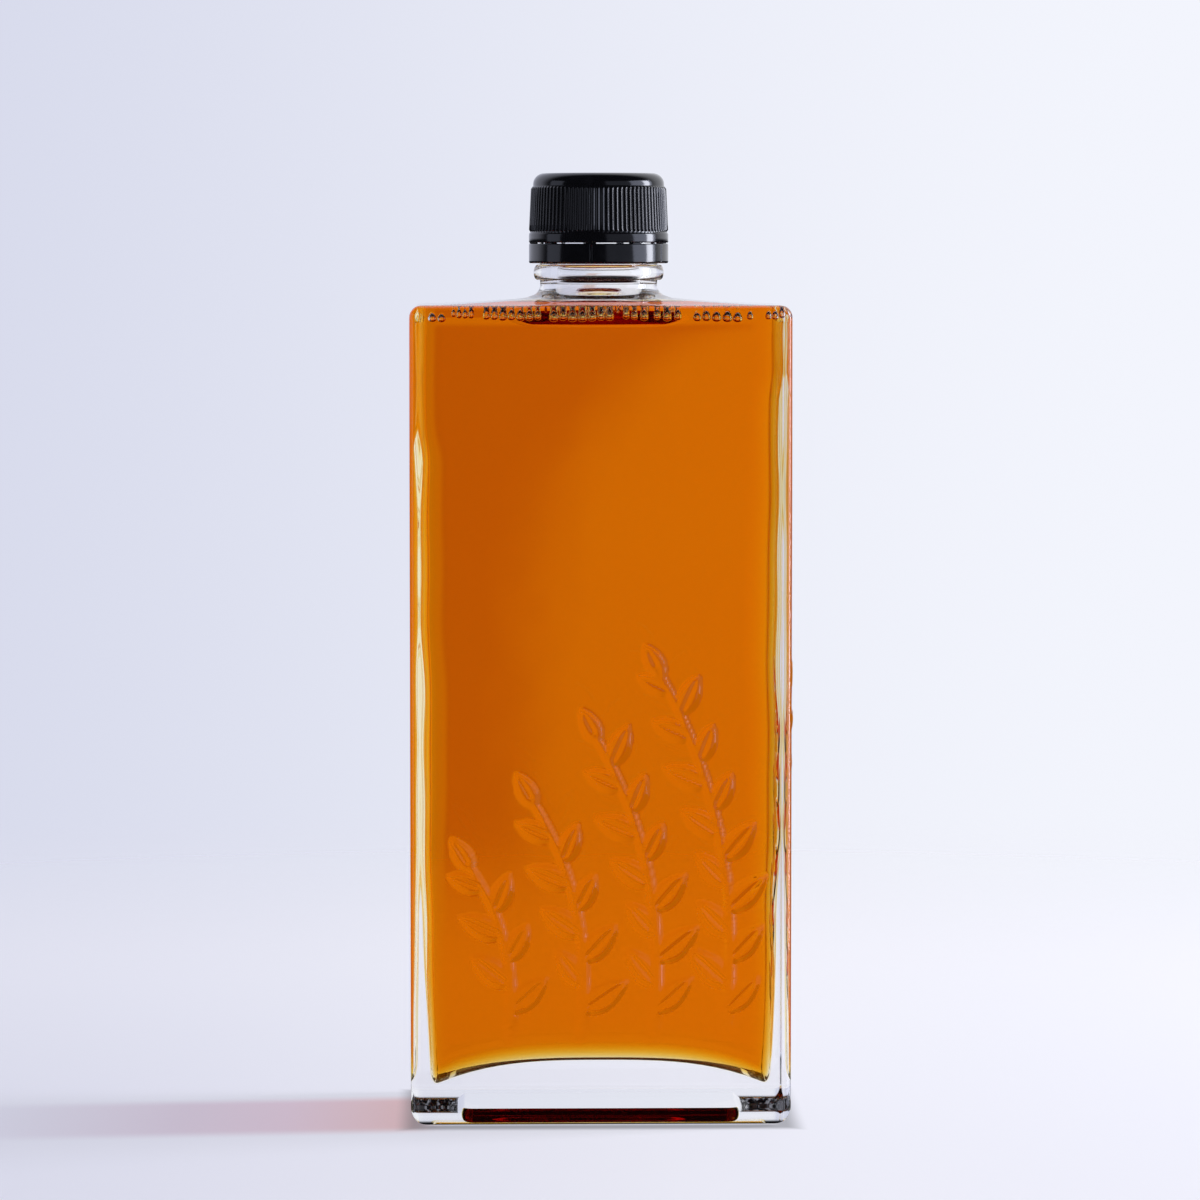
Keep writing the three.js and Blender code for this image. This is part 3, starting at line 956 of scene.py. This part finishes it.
def make_syrup(finish):
    """Syrup out to just inside the wall, with a bowl-shaped air pocket under the neck."""
    lines = plain_lines()
    rings = cavity_rings(lines, SYRUP_OVERLAP)[::-1]
    rings += ceiling_rings(lines, SYRUP_OVERLAP, np.linspace(0.1, POCKET_REACH, 5))
    rings += pocket_rings(rings[-1], 0.0)
    skin = Skin()
    first, last = skin.bands(rings)
    skin.start(first, (0, 0, FLOOR_CENTRE_HEIGHT - SYRUP_OVERLAP))
    skin.end(last, (POCKET_CENTRE_X, 0, POCKET_BOTTOM))
    syrup = skin.piece("amber_syrup", "syrup", finish)
    syrup.visible_diffuse = False
    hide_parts("syrup")


# Chains of bubbles: start and end across the front, radii, widest gap and tilts under the ceiling's edge
BUBBLE_CHAINS = (
    (-36.6, -34.4, (0.95, 1.0), 0.1, (45, 55)),
    (-31.6, -27.0, (0.45, 0.7), 0.1, (60, 75)),
    (-27.0, -13.0, (0.75, 1.0), 0.08, (65, 85)),
    (-13.0, 2.0, (0.9, 1.1), 0.05, (68, 85)),
    (2.0, 16.5, (0.75, 1.0), 1.2, (65, 85)),
    (19.5, 28.0, (0.9, 1.15), 0.2, (55, 70)),
    (28.2, 32.0, (0.45, 0.7), 0.5, (55, 70)),
    (34.8, 38.2, (0.6, 0.8), 0.05, (55, 75)),
    (-18.0, 16.0, (0.3, 0.45), 0.3, (85, 98)),
    (-14.0, 17.0, (0.14, 0.32), 0.05, (82, 96)),
    (-10.0, 16.0, (0.12, 0.3), 0.05, (60, 80)),
    (-8.0, 15.0, (0.12, 0.26), 0.05, (88, 100)),
)
BUBBLE_SEED = 11
BUBBLE_CLEARANCE = 0.16
BUBBLE_FLATNESS = 0.72


def add_bubble(skin, centre, radius, steps):
    """A slightly flat round hollow in the syrup. Its faces look inwards."""
    turn = np.arange(2 * steps) * math.pi / steps
    around = np.stack([np.cos(turn), np.sin(turn), np.zeros(len(turn))], 1)
    top = np.array([0, 0, BUBBLE_FLATNESS * radius])
    rings = []
    for tilt in np.linspace(math.pi / 2, -math.pi / 2, steps + 1)[1:-1]:
        rings.append(centre + radius * math.cos(tilt) * around + math.sin(tilt) * top)
    first, last = skin.bands(rings)
    skin.start(first, centre + top)
    skin.end(last, centre - top)


def edge_bubbles():
    """Centres and radii of the bubbles, each clear of all the others."""
    chance = np.random.default_rng(BUBBLE_SEED)
    middle_y = -(CAVITY_HALF_DEPTH - CEILING_EDGE_RADIUS)
    middle_z = CEILING_EDGE_HEIGHT - CEILING_EDGE_RADIUS
    placed = []
    for start, end, radii, gap, tilts in BUBBLE_CHAINS:
        x = start
        while x < end:
            radius = chance.uniform(*radii)
            tilt = math.radians(chance.uniform(*tilts))
            reach = CEILING_EDGE_RADIUS - radius - BUBBLE_CLEARANCE
            x += radius
            centre = np.array([x, middle_y - reach * math.cos(tilt), middle_z + reach * math.sin(tilt)])
            x += radius + gap * chance.random()
            if all(np.linalg.norm(centre - other) > radius + size for other, size in placed):
                placed.append((centre, radius))
    return placed


def make_bubbles(finish):
    """Bubbles under the front edge of the ceiling, with fine foam, and the skin under the air pocket."""
    skin = Skin()
    lines = plain_lines()
    rim = ceiling_rings(lines, SYRUP_OVERLAP, (POCKET_REACH,))[0]
    last = skin.bands([rim] + pocket_rings(rim, POCKET_SKIN_DEPTH))[1]
    skin.end(last, (POCKET_CENTRE_X, 0, POCKET_BOTTOM - POCKET_SKIN_DEPTH))
    for centre, radius in edge_bubbles():
        add_bubble(skin, centre, radius, 12 if radius > 0.4 else 7)
    bubbles = skin.piece("syrup_bubbles", "syrup", finish)
    bubbles.visible_diffuse = False


# Screw cap


def cap_angles():
    count = RIB_COUNT * RIB_POINTS
    return np.arange(count) * 2 * math.pi / count


def rib_wave(angles):
    """1 on a rib's crest and 0 between ribs."""
    return (0.5 + 0.5 * np.cos(RIB_COUNT * angles)) ** 0.8


def score_marks(angles):
    """1 in the score lines of the tamper band."""
    marks = np.zeros(len(angles))
    for score in np.radians(SCORE_ANGLES):
        off = np.abs(np.angle(np.exp(1j * (angles - score))))
        marks[off < math.radians(SCORE_HALF_ANGLE)] = 1
    return marks


def slit_columns(angles):
    """True where the slit runs and False at the bridges that hold the tamper band."""
    step = math.radians(360 / BRIDGE_COUNT)
    off = (angles - math.radians(BRIDGE_START_ANGLE) + step / 2) % step - step / 2
    return np.abs(off) > math.radians(BRIDGE_ANGLE / 2)


def cap_ring(radius, z):
    """Level ring of the cap. The radius is one number, or one for every angle."""
    angles = cap_angles()
    radii = np.broadcast_to(radius, angles.shape)
    return np.stack([radii * np.cos(angles), radii * np.sin(angles), np.full(len(angles), z)], 1)


def bore_rings():
    """Inside of the cap from its ceiling down. The slit is between the third and the fourth ring."""
    rings = [cap_ring(CAP_BORE_RADIUS - 1, CAP_CEILING), cap_ring(CAP_BORE_RADIUS, CAP_CEILING - 0.5)]
    rings += [cap_ring(CAP_BORE_RADIUS, z) for z in (SLIT_TOP, SLIT_BOTTOM, CAP_BOTTOM + 0.3)]
    return rings


def tamper_rings():
    """Foot of the cap and its tamper band up to the lower edge of the slit."""
    scored = CAP_RADIUS - SCORE_DEPTH * score_marks(cap_angles())
    return [
        cap_ring(CAP_BORE_RADIUS + 0.3, CAP_BOTTOM),
        cap_ring(CAP_RADIUS - 0.35, CAP_BOTTOM),
        cap_ring(CAP_RADIUS - 0.1, CAP_BOTTOM + 0.1),
        cap_ring(CAP_RADIUS, CAP_BOTTOM + 0.35),
        cap_ring(scored, CAP_BOTTOM + 0.5),
        cap_ring(scored, SLIT_BOTTOM - 0.25),
        cap_ring(CAP_RADIUS - 0.04, SLIT_BOTTOM - 0.1),
        cap_ring(CAP_RADIUS - 0.15, SLIT_BOTTOM),
    ]


def skirt_rings():
    """Outside from the upper edge of the slit over the ribs and the rounded edge on to the top."""
    rings = [
        cap_ring(CAP_RADIUS - 0.15, SLIT_TOP),
        cap_ring(CAP_RADIUS - 0.04, SLIT_TOP + 0.1),
        cap_ring(CAP_RADIUS, SLIT_TOP + 0.3),
        cap_ring(CAP_RADIUS, RIB_BOTTOM - 0.55),
        cap_ring(CAP_RADIUS - 0.05, RIB_BOTTOM - 0.35),
    ]
    ribs = RIB_HEIGHT * rib_wave(cap_angles())
    for share in (0.0, 0.025, 0.05, 0.2, 0.4, 0.6, 0.8, 0.95, 0.975, 1.0):
        grown = smooth(share / 0.05) * smooth((1 - share) / 0.05)
        radius = CAP_RADIUS - RIB_HEIGHT - RIB_TAPER * share + grown * ribs
        rings.append(cap_ring(radius, mix(RIB_BOTTOM, RIB_TOP, share)))
    for z in (RIB_TOP + 0.15, CAP_TOP - CAP_EDGE_RADIUS - 0.2):
        rings.append(cap_ring(CAP_TOP_RADIUS, z))
    for back, rise in arc(10):
        radius = CAP_TOP_RADIUS - CAP_EDGE_RADIUS * back
        rings.append(cap_ring(radius, CAP_TOP - CAP_EDGE_RADIUS * (1 - rise)))
    for share in (0.97, 0.7, 0.35):
        rings.append(cap_ring(share * (CAP_TOP_RADIUS - CAP_EDGE_RADIUS), CAP_TOP))
    return rings


def line_slit(skin, inner, outer, opened):
    """Floor, roof and ends of the slit. inner and outer are the lower and upper rings of its mouths."""
    inner_low, inner_high = inner
    outer_low, outer_high = outer
    for this in np.flatnonzero(opened):
        after = (this + 1) % len(opened)
        skin.add([[outer_low[this], outer_low[after], inner_low[after], inner_low[this]]])
        skin.add([[inner_high[this], inner_high[after], outer_high[after], outer_high[this]]])
        if not opened[this - 1]:
            skin.add([[outer_low[this], inner_low[this], inner_high[this], outer_high[this]]])
        if not opened[after]:
            skin.add([[outer_low[after], outer_high[after], inner_high[after], inner_low[after]]])


def make_cap(finish):
    """Cap and tamper band as one skin: out from under its top, down the bore, up the ribbed outside."""
    skin = Skin()
    bore = [skin.ring(points) for points in bore_rings()]
    tamper = [skin.ring(points) for points in tamper_rings()]
    skirt = [skin.ring(points) for points in skirt_rings()]
    inner_high, inner_low = bore[2:4]
    outer_low, outer_high = tamper[-1], skirt[0]
    columns = slit_columns(cap_angles())
    opened = columns & np.roll(columns, -1)
    rings = bore + tamper + skirt
    for low, high in zip(rings, rings[1:]):
        at_slit = low is inner_high or low is outer_low
        skin.band(low, high, ~opened if at_slit else slice(None))
    line_slit(skin, (inner_low, inner_high), (outer_low, outer_high), opened)
    skin.start(rings[0], (0, 0, CAP_CEILING))
    skin.end(rings[-1], (0, 0, CAP_TOP))
    cap = skin.piece("screw_cap", "cap", finish)
    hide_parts("cap")


# Studio

FLOOR_RADIUS = 0.7
FLOOR_FADE_START = 0.22
FLOOR_DROP = 0.0002
BACKDROP_LEFT = linear(214, 217, 235)
BACKDROP_RIGHT = linear(243, 245, 253)
BACKDROP_GAIN = 3.6
SHADE_TINT = (0.84, 0.68, 0.6)
UNLIT = (0.006, 0.006, 0.007, 1.0)
DAYLIGHT = (0.8, 0.8, 0.865, 1.0)
REFLECTED = (0.012, 0.012, 0.015, 1.0)
LIGHT_AIM = Vector((0.0, 0.0, 0.1))
WINDOW_COLOUR = (0.88, 0.9, 1.0)
SCREEN_COLOUR = (0.74, 0.79, 1.0)
CONTACT_SHADE = 0.5
MIDDLE_SHADE = 0.6
# Painted light from the syrup on the floor: a rosy tint in the floor's colour, by distance from the
# bottle, standing in for light that comes through the syrup
PAINTED_SYRUP_LIGHT_REACH = 0.09
PAINTED_SYRUP_LIGHT_STOPS = (
    (0.0, (0.93, 0.62, 0.58, 1.0)),
    (0.3, (0.9, 0.71, 0.76, 1.0)),
    (0.55, (0.87, 0.75, 0.8, 1.0)),
    (1.0, (0.96, 0.95, 0.97, 1.0)),
)


def floor_colour(nodes):
    """Pale and faintly mottled, with painted falloff that darkens it to the left and towards the front, a
    rosy patch of painted light at the left where light would come through the syrup, and painted shade
    under the base.
    """
    where = nodes.node("ShaderNodeTexCoord", output="Object")
    mottle = nodes.noise(where, 6.0, 3.0)
    x = nodes.axis(where, "X")
    # Painted light falloff: the floor's colour is darker to the left and towards the front, with random
    # mottle
    painted_falloff_and_mottle = nodes.ramp(x, -0.16, 0.06) + 0.15 * mottle
    near = nodes.blend(painted_falloff_and_mottle, linear(229, 230, 240), linear(249, 249, 252))
    far = nodes.blend(painted_falloff_and_mottle, linear(241, 242, 249), linear(253, 253, 254))
    y = nodes.axis(where, "Y")
    plain = nodes.blend(nodes.ramp(y, -0.06, 0.28), near, far)
    # Painted light through the syrup: a rosy tint, darker near the bottle's left side
    away = (-HALF_WIDTH * MM - x) / PAINTED_SYRUP_LIGHT_REACH
    rosy = nodes.node("ShaderNodeValToRGB", {"stops": PAINTED_SYRUP_LIGHT_STOPS}, {"Fac": away})
    off_middle = abs(y + 0.002 - 0.1 * x)
    inside = (1 - nodes.ramp(off_middle, 0.016, 0.027)) * nodes.ramp(away, -0.1, 0.05)
    painted_syrup_light = nodes.blend(inside, (1.0, 1.0, 1.0, 1.0), rosy)
    lit = nodes.times(plain, painted_syrup_light)
    return nodes.blend(shade_under_base(nodes, x, y), lit, (0.0, 0.0, 0.0, 1.0))


def shade_under_base(nodes, x, y):
    """How dark the floor is under the heel and, further in, under the middle of the base."""
    past_side = abs(x) - HALF_WIDTH * MM
    past_front = abs(y) - HALF_DEPTH * MM
    out = nodes.node("ShaderNodeMath", {"operation": "MAXIMUM"}, {0: past_side, 1: past_front})
    under_heel = nodes.ramp(out, -0.006, -0.002) * (1 - nodes.ramp(out, -0.001, 0.004))
    under_middle = 1 - nodes.ramp(out, -0.012, -0.007)
    return CONTACT_SHADE * under_heel + MIDDLE_SHADE * under_middle


def make_floor():
    """Pale floor that fades out into the backdrop away from the bottle."""
    made, nodes = material("pale_floor")
    where = nodes.node("ShaderNodeTexCoord", output="Object")
    distance = nodes.node("ShaderNodeVectorMath", {"operation": "LENGTH"}, {0: where}, output="Value")
    fade = nodes.ramp(distance, FLOOR_FADE_START, FLOOR_RADIUS * 0.9)
    sockets = {"Base Color": floor_colour(nodes), "Roughness": 0.75}
    matt = nodes.node("ShaderNodeBsdfPrincipled", {}, sockets)
    clear = nodes.node("ShaderNodeBsdfTransparent")
    nodes.finish(nodes.node("ShaderNodeMixShader", {}, {0: fade, 1: matt, 2: clear}))
    bpy.ops.mesh.primitive_circle_add(vertices=96, radius=FLOOR_RADIUS, fill_type="NGON")
    floor = bpy.context.object
    floor.name = "floor"
    floor.location.z = -FLOOR_DROP
    floor.data.materials.append(made)
    floor.visible_glossy = False


def seen_through(nodes, backdrop, east, north, up):
    """What shows through the glass: the backdrop, shaded low on the left, and darkness overhead."""
    shade_edge = 0.008 + 0.031 * math.e ** ((up + 0.018) / 0.018)
    shade = 1 - nodes.ramp(east - shade_edge, -0.011, 0.011)
    shade *= nodes.ramp(east, -0.07, -0.03) * (1 - nodes.ramp(up, -0.0135, -0.01))
    shaded = nodes.blend(shade, backdrop, nodes.times(backdrop, SHADE_TINT))
    lit = 1 - nodes.ramp(up - 0.25 * nodes.ramp(north, -0.2, 0.2), 0.0, 0.25)
    return nodes.blend(lit, UNLIT, shaded)


def make_world():
    """Pale surround seen directly and through the glass, a dark one overhead and in reflections."""
    world = bpy.data.worlds.new("studio")
    bpy.context.scene.world = world
    world.use_nodes = True
    world.cycles.sampling_method = "NONE"
    nodes = Nodes(world.node_tree)
    heading = nodes.node("ShaderNodeTexCoord", output="Generated")
    east, north, up = [nodes.axis(heading, name) for name in "XYZ"]
    rightness = nodes.ramp(0.5 + BACKDROP_GAIN * east, 0.0, 1.0)
    backdrop = nodes.blend(rightness, BACKDROP_LEFT, BACKDROP_RIGHT)
    through = seen_through(nodes, backdrop, east, north, up)
    behind = nodes.ramp(north, 0.1, 0.6) * nodes.ramp(up, -0.05, 0.0)
    mirrored = nodes.blend(behind, REFLECTED, backdrop)

    def ray(output):
        return nodes.node("ShaderNodeLightPath", output=output)

    from_floor = nodes.ramp(ray("Diffuse Depth"), 0.0, 1.0)
    colour = nodes.blend(ray("Is Reflection Ray") * (1 - ray("Is Diffuse Ray")), DAYLIGHT, mirrored)
    colour = nodes.blend(ray("Is Transmission Ray") * (1 - from_floor), colour, through)
    colour = nodes.blend(ray("Is Camera Ray"), colour, backdrop)
    nodes.finish(nodes.node("ShaderNodeBackground", {}, {"Color": colour, "Strength": 1.0}))


def soft_box(name, place, size, power, colour, seen_by):
    """A rectangular studio light that stays out of the picture and lights matt or shiny surfaces only."""
    light = bpy.data.lights.new(name, "AREA")
    light.shape = "RECTANGLE"
    light.size, light.size_y = size
    light.energy = power
    light.color = colour
    made = bpy.data.objects.new(name, light)
    bpy.context.collection.objects.link(made)
    made.location = place
    made.rotation_euler = (LIGHT_AIM - Vector(place)).to_track_quat("-Z", "Y").to_euler()
    made.visible_camera = False
    made.visible_transmission = False
    made.visible_diffuse = seen_by == "matt"
    made.visible_glossy = seen_by == "shiny"


def make_lights():
    """One soft window from the right for matt surfaces, and screens that shiny ones mirror."""
    soft_box("right_window", (0.9, 0.12, 0.3), (0.26, 0.4), 4.3, WINDOW_COLOUR, "matt")
    soft_box("right_strip", (1.0, 0.05, 0.25), (0.25, 0.7), 5.0, WINDOW_COLOUR, "shiny")
    soft_box("right_screen", (1.0, -0.14, 0.25), (0.9, 0.9), 5.5, SCREEN_COLOUR, "shiny")
    soft_box("front_screen", (0.57, -0.82, 0.25), (0.85, 0.9), 0.6, SCREEN_COLOUR, "shiny")
    soft_box("left_screen", (-1.0, -0.15, 0.25), (0.5, 0.8), 0.7, SCREEN_COLOUR, "shiny")


def make_camera():
    """Lens level with the cap, a little to the left, tipped down to the middle of the bottle."""
    lens = bpy.data.cameras.new("camera")
    lens.sensor_width = SENSOR_WIDTH
    lens.lens = SENSOR_WIDTH * FOCAL_PIXELS / PHOTO_PIXELS
    camera = bpy.data.objects.new("camera", lens)
    bpy.context.collection.objects.link(camera)
    camera.location = (
        CAMERA_DISTANCE * math.sin(CAMERA_AZIMUTH),
        -CAMERA_DISTANCE * math.cos(CAMERA_AZIMUTH),
        CAMERA_HEIGHT,
    )
    aim = Vector((AIM_RIGHT, 0.0, AIM_HEIGHT)) - camera.location
    camera.rotation_euler = aim.to_track_quat("-Z", "Y").to_euler()
    bpy.context.scene.camera = camera


def set_light_paths():
    """Enough bounces for light that is turned about inside thick glass."""
    scene = bpy.context.scene
    scene.view_settings.view_transform = "Standard"
    scene.cycles.max_bounces = 28
    scene.cycles.transmission_bounces = 28
    scene.cycles.glossy_bounces = 12


make_camera()
set_light_paths()
make_world()
make_lights()
make_floor()
clear_glass = glass_finish("clear_moulded_glass", GLASS_IOR)
make_glass(clear_glass, glass_finish("wet_glass", GLASS_IOR / SYRUP_IOR), painted_shade_stipple_finish())
make_syrup(syrup_finish())
make_bubbles(bubble_finish())
make_cap(cap_finish())
